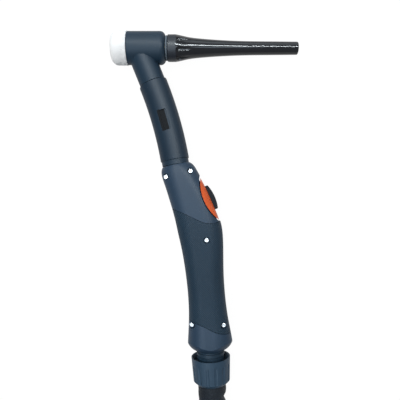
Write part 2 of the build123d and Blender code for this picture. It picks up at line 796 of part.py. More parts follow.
with BuildPart() as lead_splitter:
    with BuildSketch(Plane(hose_line @ 1, z_dir=hose_line % 1).offset(-splitter_length)):
        Circle(hose_radius + splitter_wall)
    with BuildSketch(Plane(hose_line @ 1, z_dir=hose_line % 1)):
        Circle(lead_radius + splitter_wall)
    loft()
    add(power_hose.part, mode=Mode.SUBTRACT)
finish(lead_splitter, "lead_splitter")

with BuildPart() as lead_bundle:
    add(tube_along(bundle_line, lead_radius))
finish(lead_bundle, "lead_bundle")

terminal_drop = -switch_below - switch_height - 0.8 * terminal_length
terminal_end = trigger_plane.from_local_coords((switch_shift + terminal_step, terminal_drop, 0))
splitter_side = across(knuckle_lean) * (hose_radius + splitter_wall)
control_end = hose_line @ 1 + splitter_side - heading(knuckle_lean) * splitter_length
control_line = eased_route([terminal_end, *control_points, control_end], "control lead")
with BuildPart() as control_lead:
    add(tube_along(control_line, control_radius))
    add(microswitch.part, mode=Mode.SUBTRACT)
    add(lead_splitter.part, mode=Mode.SUBTRACT)
finish(control_lead, "control_lead")

# ==== Knuckle =======================================================================
collar_end = thread_start + thread_length
tail_end = collar_end + tail_length
nut_end = nut_start + nut_length
second_ring_start = ring_start + ring_length + groove_length
second_ring_end = second_ring_start + second_ring_length

with BuildPart() as ball_spigot:
    with Locations(knuckle_plane):
        Sphere(ball_radius)
    steps = [
        (0, ring_start, groove_radius),
        (ring_start, ring_length, ring_radius),
        (ring_start + ring_length, groove_length, groove_radius),
        (second_ring_start, second_ring_length, second_ring_radius),
        (second_ring_end, thread_start - second_ring_end, groove_radius),
        (thread_start, thread_length, thread_radius),
        (collar_end, tail_length, tail_radius),
    ]
    for start, length, radius in steps:
        with BuildSketch(knuckle_plane.offset(start)):
            Circle(radius)
        extrude(amount=length)
    for place in range(barb_count):
        with Locations(knuckle_plane.offset(collar_end + (place + 0.5) * tail_length / barb_count)):
            Cone(
                tail_radius + barb_height,
                tail_radius,
                0.4 * tail_length / barb_count,
                align=standing,
            )
    with BuildSketch(knuckle_plane):
        Circle(lead_radius)
    extrude(amount=tail_end, mode=Mode.SUBTRACT)
    with Locations(knuckle_plane.offset(lead_gap)):
        Cone(
            lead_radius + ball_radius * lead_flare,
            lead_radius + loose_gap,
            ball_radius + lead_gap,
            align=hanging,
            mode=Mode.SUBTRACT,
        )
finish(ball_spigot, "ball_spigot")

with BuildPart() as cable_core:
    with BuildSketch(knuckle_plane.offset(lead_gap)):
        Circle(lead_radius)
    extrude(amount=tail_end - lead_gap)
finish(cable_core, "cable_core")

with BuildPart() as cable_nut:
    with BuildSketch(knuckle_profile) as nut_profile:
        with BuildLine():
            Polyline(
                (nut_start, 0),
                (nut_start, nut_rim_radius),
                (nut_end - nut_chamfer, nut_foot_radius),
                (nut_end, cable_radius + 1.0),
                (nut_end, 0),
                (nut_start, 0),
            )
        make_face()
        with BuildLine():
            Polyline(
                (nut_start, 0),
                (nut_start, nut_mouth_radius),
                (nut_start + nut_mouth_depth, thread_radius + running_fit),
                (nut_start + nut_taper_start, thread_radius + running_fit),
                (nut_start + nut_taper_start, nut_taper_large),
                (nut_start + nut_taper_start + nut_taper_length, nut_taper_small),
                (nut_start + nut_taper_start + nut_taper_length, cable_radius + 0.35),
                (nut_end, cable_radius + 0.35),
                (nut_end, 0),
                (nut_start, 0),
            )
        make_face(mode=Mode.SUBTRACT)
    revolve(axis=knuckle_axis)
    with Locations(knuckle_plane.offset(nut_start + nut_band)):
        with PolarLocations(nut_rim_radius + nut_flute_radius - nut_flute_depth, nut_flutes):
            Sphere(nut_flute_radius, mode=Mode.SUBTRACT)
            Cylinder(
                nut_flute_radius,
                nut_length,
                rotation=(0, -nut_flute_slope, 0),
                align=standing,
                mode=Mode.SUBTRACT,
            )
finish(cable_nut, "cable_nut")

with BuildPart() as clamp_ring:
    with BuildSketch(knuckle_profile):
        with BuildLine():
            Polyline(
                (nut_start + nut_taper_start + seat_gap, cable_radius + running_fit),
                (nut_start + nut_taper_start + seat_gap, nut_taper_large - seat_gap),
                (nut_start + nut_taper_start + nut_taper_length - seat_gap, nut_taper_small - seat_gap),
                (nut_start + nut_taper_start + nut_taper_length - seat_gap, cable_radius + running_fit),
                close=True,
            )
        make_face()
    revolve(axis=knuckle_axis)
    with BuildSketch(knuckle_plane.offset(nut_start)):
        with Locations((thread_radius, 0)):
            Rectangle(thread_radius, clamp_slot)
    extrude(amount=nut_length, mode=Mode.SUBTRACT)
finish(clamp_ring, "clamp_ring")

# ==== Cable: lead from the clamp, coil, end on the coil, ties ==========================
jacket_start = knuckle_plane.offset(collar_end).origin
jacket_corner = knuckle_plane.offset(collar_end + first_run).origin
lead_line = eased_route([jacket_start, jacket_corner, *lead_route], "cable lead")

with BuildPart() as cable_lead:
    add(tube_along(lead_line, cable_radius))
    with Locations(knuckle_plane.offset(collar_end)):
        Cylinder(
            tail_radius + barb_height,
            tail_length,
            align=standing,
            mode=Mode.SUBTRACT,
        )
finish(cable_lead, "cable_lead")

coil_width = coil_columns * cable_diameter
coil_top = floor_z + coil_layers * cable_diameter
coil_plane = Plane((coil_x, coil_y, 0), x_dir=(1, 0, 0), z_dir=(0, 0, 1))


def coil_point(clockwise, radius, height):
    """A point over the coil, by the angle clockwise from its +X side."""
    angle = radians(-clockwise)
    return Vector(coil_x + radius * cos(angle), coil_y + radius * sin(angle), height)


tail_height = coil_top + cable_radius
tail_points = [coil_point(tail_start, coil_radius + 0.5 * cable_radius, coil_top - 0.5 * cable_radius)]
plug_rise = collar_nut_radius - cable_radius
tail_lift = [0] * (tail_corners - 2) + [tail_first_rise, 1]
for corner, lift in enumerate(tail_lift, start=1):
    height = tail_height + lift * plug_rise
    tail_points.append(coil_point(tail_start + corner * tail_step, coil_radius, height))
plug_lean = tail_start + (tail_corners + 0.5) * tail_step
plug_heading = Vector(-sin(radians(plug_lean)), -cos(radians(plug_lean)), 0)
tail_points.append(tail_points[-1] + plug_heading * tail_last_run)
tail_line = eased_route(tail_points, "cable tail")
with BuildPart() as cable_tail:
    add(tube_along(tail_line, cable_radius))
finish(cable_tail, "cable_tail")

tie_frames = [
    Plane(
        coil_point(-angle, coil_radius, 0),
        x_dir=(cos(radians(angle)), sin(radians(angle)), 0),
        z_dir=(sin(radians(angle)), -cos(radians(angle)), 0),
    )
    for angle in tie_angles
]


def tie_outline(frame, grow, with_tail):
    """The outline of the bundle of turns at a tie, made larger all round."""
    half_width = coil_width / 2 + grow
    foot = floor_z + tie_thickness - grow
    brow = coil_top + grow
    corners = [(half_width, foot), (half_width, brow), (-half_width, brow), (-half_width, foot)]
    if with_tail:
        peak = tail_height + cable_radius + grow
        corners[2:2] = [(cable_radius + grow, peak), (-cable_radius - grow, peak)]
    with BuildSketch(frame.offset(-tie_width / 2)) as outline:
        Polygon(*corners, align=None)
        fillet(outline.vertices(), 0.6 * cable_radius + grow)
    return outline.sketch


with BuildPart() as coil_ties:
    for frame, over_tail in zip(tie_frames, tie_over_tail):
        extrude(tie_outline(frame, tie_thickness, over_tail), amount=tie_width)
        extrude(tie_outline(frame, 0, over_tail), amount=tie_width, mode=Mode.SUBTRACT)
finish(coil_ties, "coil_ties")

with BuildPart() as cable_coil:
    with BuildSketch(Plane(coil_plane.origin, x_dir=(1, 0, 0), z_dir=(0, -1, 0))):
        with Locations((coil_radius, (coil_top + floor_z) / 2)):
            RectangleRounded(coil_width, coil_top - floor_z, 0.8 * cable_radius)
    revolve(axis=Axis((coil_x, coil_y, 0), (0, 0, 1)))
    add(coil_ties.part, mode=Mode.SUBTRACT)
finish(cable_coil, "cable_coil")

# ==== Plug ==============================================================================
plug_start = Plane(tail_line @ 1, z_dir=plug_heading)
plug_plane = plug_start.offset(-boot_length)
boot_taper = (boot_large_radius - boot_small_radius) / boot_length

with BuildPart() as plug_boot:
    with BuildSketch(plug_plane):
        Circle(boot_small_radius)
    with BuildSketch(plug_plane.offset(boot_length)):
        Circle(boot_large_radius)
    loft()
    for ring in range(boot_rings):
        place = (ring + 0.5) * 0.8 * boot_length / boot_rings
        with BuildSketch(plug_plane.offset(place)):
            Circle(boot_large_radius + 1)
            ring_floor = boot_small_radius + boot_taper * place - boot_ring_depth
            Circle(ring_floor, mode=Mode.SUBTRACT)
        extrude(amount=0.4 * boot_length / boot_rings, mode=Mode.SUBTRACT)
    with BuildSketch(plug_plane):
        Circle(cable_radius)
    extrude(amount=boot_length, mode=Mode.SUBTRACT)
finish(plug_boot, "plug_boot")

journal_length = collar_nut_length - collar_nut_overhang
with BuildPart() as plug_body:
    with BuildSketch(plug_start):
        Circle(plug_radius)
    extrude(amount=plug_length)
    fillet(plug_body.edges().filter_by(GeomType.CIRCLE), 1.4)
    with BuildSketch(plug_start.offset(0.15 * plug_length)):
        with PolarLocations(plug_radius + 1.6, plug_grip_count):
            Circle(2.4)
    extrude(amount=0.7 * plug_length, mode=Mode.SUBTRACT)
    with BuildSketch(plug_start.offset(plug_length)):
        Circle(journal_radius)
    extrude(amount=journal_length)
    with BuildSketch(plug_start.offset(plug_length + journal_length - power_pin_seat)):
        Circle(power_pin_shank)
        with PolarLocations(contact_circle, contact_count):
            Circle(contact_radius)
    extrude(amount=power_pin_seat, mode=Mode.SUBTRACT)
finish(plug_body, "plug_body")

pin_plane = plug_start.offset(plug_length + journal_length - power_pin_seat)
pin_groove_plane = pin_plane.offset(power_pin_seat + 0.7 * power_pin_length)
with BuildPart() as power_pin:
    with BuildSketch(pin_plane.offset(power_pin_seat)):
        Circle(power_pin_radius)
    extrude(amount=power_pin_length)
    tip_plane = pin_plane.offset(power_pin_seat + power_pin_length)
    chamfer(power_pin.edges().filter_by(GeomType.CIRCLE).sort_by_distance(tip_plane.origin)[0], power_pin_tip)
    with BuildSketch(pin_plane):
        Circle(power_pin_shank)
    extrude(amount=power_pin_seat)
    with BuildSketch(pin_plane):
        Circle(power_pin_bore)
    extrude(amount=power_pin_seat + power_pin_length, mode=Mode.SUBTRACT)
    with BuildSketch(pin_groove_plane.offset(-o_ring_section - seat_gap)):
        Circle(power_pin_radius)
        Circle(power_pin_radius - 2 * o_ring_section, mode=Mode.SUBTRACT)
    extrude(amount=2 * (o_ring_section + seat_gap), mode=Mode.SUBTRACT)
finish(power_pin, "power_pin")

with BuildPart() as pin_o_ring:
    with Locations(pin_groove_plane):
        Torus(power_pin_radius - o_ring_section, o_ring_section)
finish(pin_o_ring, "pin_o_ring")

with BuildPart() as control_pins:
    with BuildSketch(pin_plane):
        with PolarLocations(contact_circle, contact_count):
            Circle(contact_radius)
    extrude(amount=power_pin_seat + contact_length)
finish(control_pins, "control_pins")

with BuildPart() as collar_nut:
    nut_plane = plug_start.offset(plug_length + 2 * seat_gap)
    with BuildSketch(nut_plane):
        Circle(collar_nut_radius)
        Circle(journal_radius + running_fit, mode=Mode.SUBTRACT)
    extrude(amount=collar_nut_length)
    chamfer(collar_nut.edges().filter_by(GeomType.CIRCLE).group_by(SortBy.RADIUS)[-1], 1.0)
    with BuildSketch(nut_plane.offset(2)):
        with PolarLocations(collar_nut_radius + 1.0, collar_nut_flutes):
            Circle(1.9)
    extrude(amount=collar_nut_length - 4, mode=Mode.SUBTRACT)
finish(collar_nut, "collar_nut")
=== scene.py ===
"""A TIG welding torch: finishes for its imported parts, its jacketed cable, and a plain studio."""
import math

import bpy
import numpy as np
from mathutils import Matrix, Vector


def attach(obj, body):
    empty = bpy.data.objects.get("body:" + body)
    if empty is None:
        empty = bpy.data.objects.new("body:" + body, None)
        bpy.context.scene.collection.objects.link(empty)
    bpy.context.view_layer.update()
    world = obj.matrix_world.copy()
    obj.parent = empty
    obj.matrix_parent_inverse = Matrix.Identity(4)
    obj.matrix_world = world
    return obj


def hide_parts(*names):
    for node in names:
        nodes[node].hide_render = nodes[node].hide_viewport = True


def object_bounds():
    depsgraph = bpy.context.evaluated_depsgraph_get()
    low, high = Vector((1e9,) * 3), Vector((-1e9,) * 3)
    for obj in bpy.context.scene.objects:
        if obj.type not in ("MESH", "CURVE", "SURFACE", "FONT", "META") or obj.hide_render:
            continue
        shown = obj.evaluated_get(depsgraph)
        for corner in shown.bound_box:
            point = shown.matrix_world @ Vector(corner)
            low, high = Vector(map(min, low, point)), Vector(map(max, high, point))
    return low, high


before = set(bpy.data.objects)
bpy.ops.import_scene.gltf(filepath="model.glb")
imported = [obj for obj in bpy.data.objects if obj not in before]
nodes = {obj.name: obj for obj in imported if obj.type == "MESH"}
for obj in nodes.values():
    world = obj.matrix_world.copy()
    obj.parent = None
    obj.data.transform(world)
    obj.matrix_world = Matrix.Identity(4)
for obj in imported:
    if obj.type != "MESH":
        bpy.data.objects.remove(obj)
cad_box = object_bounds()
floor_z = float(cad_box[0][2])

# ---- Places on the neck and the back cap, in metres ------------------------------
cap_base = 0.0444  # the end of the cap's base ring
panel_middle = (0.0340, -0.0650, 0.0114)
panel_turn = math.radians(-74)

# ---- The cable's route, in metres ---------------------------------------------
cable_radius = 0.012
ball = np.array([0.0743, -0.258, 0.0])
knuckle_lean = math.radians(2.5)
knuckle_way = np.array([math.sin(knuckle_lean), -math.cos(knuckle_lean), 0.0])
jacket_start = ball + 0.026 * knuckle_way
jacket_corner = ball + 0.070 * knuckle_way
lead_route = [(0.0802, -0.372, -0.0056), (0.0854, -0.424, -0.0065)]
coil_centre = np.array([-0.062, -0.488])
coil_radius = 0.138
outer_turn = coil_radius + cable_radius
inner_turn = coil_radius - cable_radius
low_layer = floor_z + cable_radius
high_layer = low_layer + 2 * cable_radius
top_layer = high_layer + 2 * cable_radius
points_per_turn = 20
# Where the cable steps from one place in the coil's section to the next: degrees
# clockwise since the coil's start, with the radius and height that it steps to.
coil_steps = [
    (300, inner_turn, low_layer),
    (360 + 255, inner_turn, high_layer),
    (720 + 210, outer_turn, high_layer),
    (1080 + 165, coil_radius, top_layer),
]
step_width = 42
tail_end_angle = 1080 + 361
plug_rise = 0.0072
plug_rise_width = 40
plug_angle = math.radians(375)
tail_last_run = 0.058

# ---- The grip, in metres: its middle line's slope and place, and its mean radius -----
grip_slope = -0.099
grip_offset = 0.0494
grip_radius = 0.0175


# ==== Nodes shared by the finishes ============================================
def math_node(tree, operation, first, second=None, third=None, clamp=False):
    """A Math node fed by sockets or numbers."""
    node = tree.nodes.new("ShaderNodeMath")
    node.operation = operation
    node.use_clamp = clamp
    for socket, value in zip(node.inputs, (first, second, third)):
        if isinstance(value, (int, float)):
            socket.default_value = value
        elif value is not None:
            tree.links.new(value, socket)
    return node.outputs[0]


def spread(tree, value, low, high, start=0.0, end=1.0):
    """A value between start and end spread over the range from low to high."""
    node = tree.nodes.new("ShaderNodeMapRange")
    node.inputs["From Min"].default_value = start
    node.inputs["From Max"].default_value = end
    node.inputs["To Min"].default_value = low
    node.inputs["To Max"].default_value = high
    tree.links.new(value, node.inputs["Value"])
    return node.outputs["Result"]


def noise(tree, vector, scale, detail=3.0, roughness=0.55):
    """A Noise node's value from 0 to 1."""
    node = tree.nodes.new("ShaderNodeTexNoise")
    node.inputs["Scale"].default_value = scale
    node.inputs["Detail"].default_value = detail
    node.inputs["Roughness"].default_value = roughness
    tree.links.new(vector, node.inputs["Vector"])
    return node.outputs["Fac"]


def cells(tree, vector, scale, randomness=1.0):
    """How far each place is from the middle of its Voronoi cell."""
    node = tree.nodes.new("ShaderNodeTexVoronoi")
    node.inputs["Scale"].default_value = scale
    node.inputs["Randomness"].default_value = randomness
    tree.links.new(vector, node.inputs["Vector"])
    return node.outputs["Distance"]


def new_group(name, inputs, outputs):
    """An empty shader node group with number inputs and number outputs."""
    group = bpy.data.node_groups.new(name, "ShaderNodeTree")
    for label, start in inputs:
        socket = group.interface.new_socket(label, in_out="INPUT", socket_type="NodeSocketFloat")
        socket.default_value = start
    for label in outputs:
        group.interface.new_socket(label, in_out="OUTPUT", socket_type="NodeSocketFloat")
    return group, group.nodes.new("NodeGroupInput"), group.nodes.new("NodeGroupOutput")


def surface_group():
    """What every moulded or worked surface has, each from 0 to 1.

    Grain is the tool's fine texture, Handling is slow soiling, Scuffs are short crossing hairlines
    and Dust is small pale specks.
    """
    outputs = ["Grain", "Handling", "Scuffs", "Dust"]
    group, way_in, way_out = new_group("worked_surface", [("Grain Scale", 900.0)], outputs)
    place = group.nodes.new("ShaderNodeTexCoord").outputs["Object"]
    grain = group.nodes.new("ShaderNodeTexNoise")
    grain.inputs["Detail"].default_value = 3.0
    grain.inputs["Roughness"].default_value = 0.6
    group.links.new(place, grain.inputs["Vector"])
    group.links.new(way_in.outputs["Grain Scale"], grain.inputs["Scale"])
    group.links.new(grain.outputs["Fac"], way_out.inputs["Grain"])
    group.links.new(noise(group, place, 36.0, 5.0, 0.62), way_out.inputs["Handling"])
    lines = 0.0
    for turn, stretch in ((0.5, 900.0), (-0.9, 1200.0)):
        aim = group.nodes.new("ShaderNodeMapping")
        aim.inputs["Rotation"].default_value = (0.3, 0.2, turn)
        aim.inputs["Scale"].default_value = (stretch, 22.0, stretch)
        group.links.new(place, aim.inputs["Vector"])
        hair = spread(group, noise(group, aim.outputs["Vector"], 1.0, 2.0), 0.0, 1.0, 0.66, 0.74)
        lines = math_node(group, "MAXIMUM", hair, lines)
    group.links.new(lines, way_out.inputs["Scuffs"])
    specks = spread(group, cells(group, place, 420.0), 1.0, 0.0, 0.05, 0.11)
    few = math_node(group, "GREATER_THAN", noise(group, place, 300.0, 0.0), 0.6)
    group.links.new(math_node(group, "MULTIPLY", specks, few), way_out.inputs["Dust"])
    return group


worked_surface = surface_group()


def add_surface(tree, grain_scale):
    """The shared surface in a finish of its own grain."""
    node = tree.nodes.new("ShaderNodeGroup")
    node.node_tree = worked_surface
    node.inputs["Grain Scale"].default_value = grain_scale
    return node.outputs


def mix_colour(tree, factor, low, high):
    """A Mix node between two colours, each a socket or a tuple."""
    node = tree.nodes.new("ShaderNodeMix")
    node.data_type = "RGBA"
    tree.links.new(factor, node.inputs[0])
    for socket, colour in ((node.inputs[6], low), (node.inputs[7], high)):
        if isinstance(colour, tuple):
            socket.default_value = colour
        else:
            tree.links.new(colour, socket)
    return node.outputs[2]


def bump(tree, height, distance, under=None):
    """A Bump node's normal from a height."""
    node = tree.nodes.new("ShaderNodeBump")
    node.inputs["Strength"].default_value = 1.0
    node.inputs["Distance"].default_value = distance
    tree.links.new(height, node.inputs["Height"])
    if under is not None:
        tree.links.new(under, node.inputs["Normal"])
    return node.outputs["Normal"]


def shade(colour, factor):
    """A colour made lighter or darker by a factor."""
    return (*(channel * factor for channel in colour[:3]), 1.0)


def new_material(name):
    """A material with nothing but a Principled BSDF and its output."""
    material = bpy.data.materials.new(name)
    material.use_nodes = True
    return material, material.node_tree, material.node_tree.nodes["Principled BSDF"]


# ==== Finishes ==================================================================
def moulded(name, colour, roughness, grain_scale=900.0, grain_height=0.00002, specular=0.22, wear=0.25):
    """Moulded plastic or rubber: slow soiling in tone and sheen, hairline scuffs and a little dust."""
    material, tree, shader = new_material(name)
    surface = add_surface(tree, grain_scale)
    base = mix_colour(tree, surface["Handling"], shade(colour, 0.86), shade(colour, 1.14))
    base = mix_colour(tree, math_node(tree, "MULTIPLY", surface["Scuffs"], wear), base, shade(colour, 1.9))
    base = mix_colour(tree, math_node(tree, "MULTIPLY", surface["Dust"], wear), base, (0.3, 0.32, 0.34, 1.0))
    tree.links.new(base, shader.inputs["Base Color"])
    gloss = spread(tree, surface["Handling"], roughness - 0.05, roughness + 0.05)
    gloss = math_node(tree, "MULTIPLY_ADD", surface["Scuffs"], 0.3 * wear, gloss)
    tree.links.new(gloss, shader.inputs["Roughness"])
    shader.inputs["Specular IOR Level"].default_value = specular
    tree.links.new(bump(tree, surface["Grain"], grain_height), shader.inputs["Normal"])
    return material


def metal(name, colour, roughness, tarnish):
    """Bare metal: tarnish in patches, and turning marks that break up its sheen."""
    material, tree, shader = new_material(name)
    surface = add_surface(tree, 1500.0)
    patches = spread(tree, surface["Handling"], 0.0, 1.0, 0.48, 0.7)
    tree.links.new(mix_colour(tree, patches, colour, tarnish), shader.inputs["Base Color"])
    gloss = math_node(tree, "MULTIPLY_ADD", surface["Grain"], 0.15, roughness)
    gloss = math_node(tree, "MULTIPLY_ADD", patches, 0.12, gloss)
    tree.links.new(gloss, shader.inputs["Roughness"])
    shader.inputs["Metallic"].default_value = 1.0
    tree.links.new(bump(tree, surface["Grain"], 0.000008), shader.inputs["Normal"])
    return material


def surface_input(material, label):
    """The socket that now feeds one of a finish's shader inputs."""
    return material.node_tree.nodes["Principled BSDF"].inputs[label].links[0].from_socket


def within_box(tree, middle, turn, half_size):
    """1 inside a box turned about Z, 0 outside, from the object's own coordinates."""
    place = tree.nodes.new("ShaderNodeTexCoord").outputs["Object"]
    aim = tree.nodes.new("ShaderNodeMapping")
    aim.vector_type = "TEXTURE"
    aim.inputs["Location"].default_value = middle
    aim.inputs["Rotation"].default_value = (0.0, 0.0, turn)
    aim.inputs["Scale"].default_value = half_size
    tree.links.new(place, aim.inputs["Vector"])
    split = tree.nodes.new("ShaderNodeSeparateXYZ")
    tree.links.new(aim.outputs["Vector"], split.inputs["Vector"])
    inside = [math_node(tree, "COMPARE", axis, 0.0, 1.0) for axis in split.outputs]
    return math_node(tree, "MULTIPLY", math_node(tree, "MULTIPLY", inside[0], inside[1]), inside[2])


def sleeve_finish():
    """The neck's soft sleeve, whose sunk panel is bare and darker."""
    # Near-black plastic with a painted blue sheen in its tint.
    material = moulded("sleeve_plastic", (0.006, 0.020, 0.038, 1.0), 0.5)
    tree = material.node_tree
    base = surface_input(material, "Base Color")
    panel = within_box(tree, panel_middle, panel_turn, (0.0092, 0.0032, 0.0009))
    shader = tree.nodes["Principled BSDF"]
    gloss = surface_input(material, "Roughness")
    tree.links.new(mix_colour(tree, panel, base, (0.004, 0.005, 0.007, 1.0)), shader.inputs["Base Color"])
    tree.links.new(math_node(tree, "MULTIPLY_ADD", panel, 0.4, gloss), shader.inputs["Roughness"])
    return material


def cap_finish():
    """The back cap: polished, with a satin ring at its base."""
    material = moulded("cap_plastic", (0.012, 0.013, 0.016, 1.0), 0.13, 400.0, 0.000001, 0.3, 0.12)
    tree = material.node_tree
    shader = tree.nodes["Principled BSDF"]
    ring = within_box(tree, (cap_base - 0.02, 0.0, 0.0), 0.0, (0.02, 0.05, 0.05))
    base = surface_input(material, "Base Color")
    gloss = surface_input(material, "Roughness")
    tree.links.new(mix_colour(tree, ring, base, (0.014, 0.018, 0.026, 1.0)), shader.inputs["Base Color"])
    tree.links.new(math_node(tree, "MULTIPLY_ADD", ring, 0.3, gloss), shader.inputs["Roughness"])
    return material


def pad_finish():
    """Soft grip rubber with a fine lattice of dots round the handle and along it; the dots' raised tops carry
    a painted highlight, lighter and bluer.
    """
    # Near-black rubber with a painted blue sheen in its tint.
    material = moulded("pad_rubber", (0.006, 0.022, 0.042, 1.0), 0.54, 1300.0, 0.000012, 0.18)
    tree = material.node_tree
    shader = tree.nodes["Principled BSDF"]
    split = tree.nodes.new("ShaderNodeSeparateXYZ")
    tree.links.new(tree.nodes.new("ShaderNodeTexCoord").outputs["Object"], split.inputs["Vector"])
    middle = math_node(tree, "MULTIPLY_ADD", split.outputs["Y"], grip_slope, grip_offset)
    beside = math_node(tree, "SUBTRACT", split.outputs["X"], middle)
    angle = math_node(tree, "ARCTAN2", beside, split.outputs["Z"])
    round_it = math_node(tree, "MULTIPLY", angle, grip_radius)
    lattice = tree.nodes.new("ShaderNodeCombineXYZ")
    tree.links.new(math_node(tree, "ADD", round_it, split.outputs["Y"]), lattice.inputs["X"])
    tree.links.new(math_node(tree, "SUBTRACT", round_it, split.outputs["Y"]), lattice.inputs["Y"])
    dots = spread(tree, cells(tree, lattice.outputs["Vector"], 620.0, 0.0), 1.0, 0.0, 0.18, 0.34)
    # Painted highlight: the dots are tinted lighter and bluer where their raised tops catch the light.
    dot_highlight = math_node(tree, "MULTIPLY", dots, 0.35)
    base = mix_colour(tree, dot_highlight, surface_input(material, "Base Color"), (0.055, 0.1, 0.14, 1.0))
    tree.links.new(base, shader.inputs["Base Color"])
    tree.links.new(bump(tree, dots, 0.00012, surface_input(material, "Normal")), shader.inputs["Normal"])
    return material


def insulator_finish():
    """White PTFE, a little milky, with faint soot towards its front rim."""
    material = moulded("white_insulator", (0.88, 0.89, 0.89, 1.0), 0.36, 600.0, 0.000006, 0.12, 0.1)
    tree = material.node_tree
    shader = tree.nodes["Principled BSDF"]
    split = tree.nodes.new("ShaderNodeSeparateXYZ")
    tree.links.new(tree.nodes.new("ShaderNodeTexCoord").outputs["Object"], split.inputs["Vector"])
    front = spread(tree, split.outputs["X"], 0.25, 0.0, -0.0125, -0.0085)
    base = mix_colour(tree, front, surface_input(material, "Base Color"), (0.66, 0.64, 0.58, 1.0))
    tree.links.new(base, shader.inputs["Base Color"])
    shader.inputs["Subsurface Weight"].default_value = 0.6
    shader.inputs["Subsurface Radius"].default_value = (1.0, 1.0, 1.0)
    shader.inputs["Subsurface Scale"].default_value = 0.004
    return material


def along_cable(tree):
    """Round-the-cable and along-the-cable distances, in metres, from the jacket's own UV map."""
    flat = tree.nodes.new("ShaderNodeUVMap")
    flat.uv_map = "along_cable"
    return flat.outputs["UV"]


def jacket_finish():
    """The cable's black leather jacket: pebbled grain, creases, scuffed high spots and a stitched seam."""
    material, tree, shader = new_material("jacket")
    place = tree.nodes.new("ShaderNodeTexCoord").outputs["Object"]
    pebbles = cells(tree, place, 950.0)
    creases = noise(tree, place, 260.0, 6.0, 0.7)
    worn = spread(tree, noise(tree, place, 120.0, 5.0, 0.65), 0.0, 1.0, 0.5, 0.78)
    split = tree.nodes.new("ShaderNodeSeparateXYZ")
    tree.links.new(along_cable(tree), split.inputs["Vector"])
    round_it = split.outputs["X"]
    seam_place = 1.5 * math.pi * cable_radius
    thread_beside = 0.0034
    seam = math_node(tree, "COMPARE", round_it, seam_place, 0.0022)
    stitch_place = math_node(tree, "FRACT", math_node(tree, "MULTIPLY", split.outputs["Y"], 260.0))
    stitch = math_node(tree, "LESS_THAN", stitch_place, 0.62)
    thread = math_node(tree, "COMPARE", round_it, seam_place + thread_beside, 0.0004)
    thread = math_node(tree, "MULTIPLY", thread, stitch)
    base = mix_colour(tree, worn, (0.008, 0.012, 0.018, 1.0), (0.020, 0.036, 0.054, 1.0))
    base = mix_colour(tree, thread, base, (0.10, 0.11, 0.12, 1.0))
    tree.links.new(base, shader.inputs["Base Color"])
    tree.links.new(spread(tree, worn, 0.62, 0.48), shader.inputs["Roughness"])
    shader.inputs["Specular IOR Level"].default_value = 0.22
    fine = bump(tree, pebbles, 0.00012)
    folded = bump(tree, creases, 0.0009, fine)
    sewn = bump(tree, math_node(tree, "MULTIPLY_ADD", thread, 0.5, seam), 0.0005, folded)
    tree.links.new(sewn, shader.inputs["Normal"])
    return material


def strap_finish():
    """Woven tie webbing: crossing ribs."""
    material = moulded("tie_strap", (0.022, 0.024, 0.028, 1.0), 0.8, 1600.0, 0.00001, 0.2)
    tree = material.node_tree
    wave = tree.nodes.new("ShaderNodeTexWave")
    wave.inputs["Scale"].default_value = 420.0
    wave.inputs["Distortion"].default_value = 1.5
    tree.links.new(tree.nodes.new("ShaderNodeTexCoord").outputs["Object"], wave.inputs["Vector"])
    woven = bump(tree, wave.outputs["Fac"], 0.0003, surface_input(material, "Normal"))
    tree.links.new(woven, tree.nodes["Principled BSDF"].inputs["Normal"])
    return material


# Painted sheen: the head, collar, shell, spigot and nut base colours are near-black plastic with a blue tint
# mixed in. The blue stands for the cool light reflected in their sheen.
finishes = {
    "head": moulded("head_plastic", (0.008, 0.025, 0.046, 1.0), 0.5),
    "insulator": insulator_finish(),
    "cap": cap_finish(),
    "sleeve": sleeve_finish(),
    "collar": moulded("collar_plastic", (0.008, 0.025, 0.046, 1.0), 0.5),
    "shell": moulded("shell_plastic", (0.018, 0.040, 0.072, 1.0), 0.5),
    "pad": pad_finish(),
    "orange": moulded("orange_plastic", (0.72, 0.110, 0.022, 1.0), 0.42),
    "button": moulded("button_plastic", (0.008, 0.010, 0.014, 1.0), 0.6, specular=0.1),
    "spigot": moulded("spigot_plastic", (0.014, 0.034, 0.058, 1.0), 0.48),
    "nut": moulded("nut_plastic", (0.026, 0.054, 0.088, 1.0), 0.48),
    "seal": moulded("seal_rubber", (0.020, 0.022, 0.025, 1.0), 0.6),
    # Painted highlight: the cap's O-ring is coloured pale grey-blue to stand for the thin bright edge line
    # along it.
    "seal_painted_highlight": moulded("seal_painted_highlight", (0.12, 0.15, 0.18, 1.0), 0.5),
    "hose": moulded("hose_rubber", (0.018, 0.018, 0.020, 1.0), 0.6),
    "switch": moulded("switch_plastic", (0.020, 0.020, 0.024, 1.0), 0.45),
    "plug": moulded("plug_plastic", (0.026, 0.030, 0.036, 1.0), 0.5),
    "brass": metal("brass", (0.55, 0.36, 0.13, 1.0), 0.26, (0.30, 0.19, 0.08, 1.0)),
    "screw": metal("screw_steel", (0.60, 0.62, 0.64, 1.0), 0.24, (0.42, 0.42, 0.42, 1.0)),
    "strap": strap_finish(),
}
